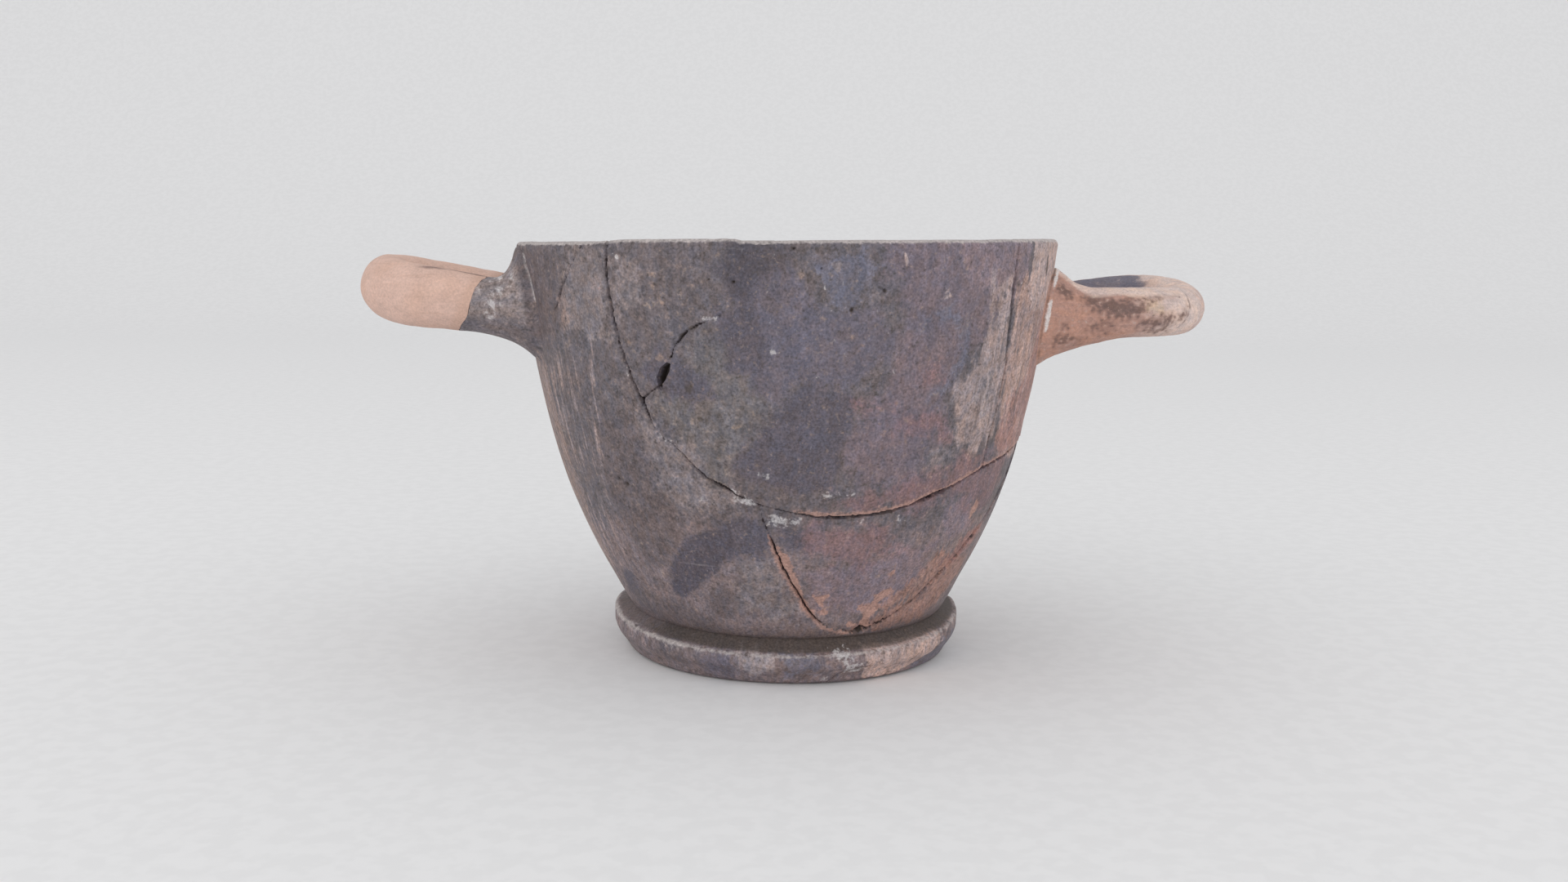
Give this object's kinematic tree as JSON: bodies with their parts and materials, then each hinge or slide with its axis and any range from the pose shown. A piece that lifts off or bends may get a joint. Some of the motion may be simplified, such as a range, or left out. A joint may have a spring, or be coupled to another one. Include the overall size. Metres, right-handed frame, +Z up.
{
  "type": "skyphos",
  "caption": "Footed clay drinking cup with a deep flaring bowl and horizontal loop handles, mended from sherds, with a plaster-filled handle end.",
  "frame": {"origin": "centre of the foot ring on the plane that the cup stands on", "axes": "+X from the restored handle towards the glued handle, +Z up along the cup's axis"},
  "size_m": [0.1592, 0.1008, 0.0787],
  "materials": {
    "slipped_clay": "worn dark slip over fired clay, matt to slightly satin",
    "bare_clay": "orange-tan fired clay with worn patches of dark slip",
    "tinted_plaster": "smooth matt tinted plaster fill"
  },
  "bodies": {
    "root": {"skyphos_body": "slipped_clay", "right_handle": "bare_clay", "left_handle_restoration": "tinted_plaster"}
  },
  "joints": []
}
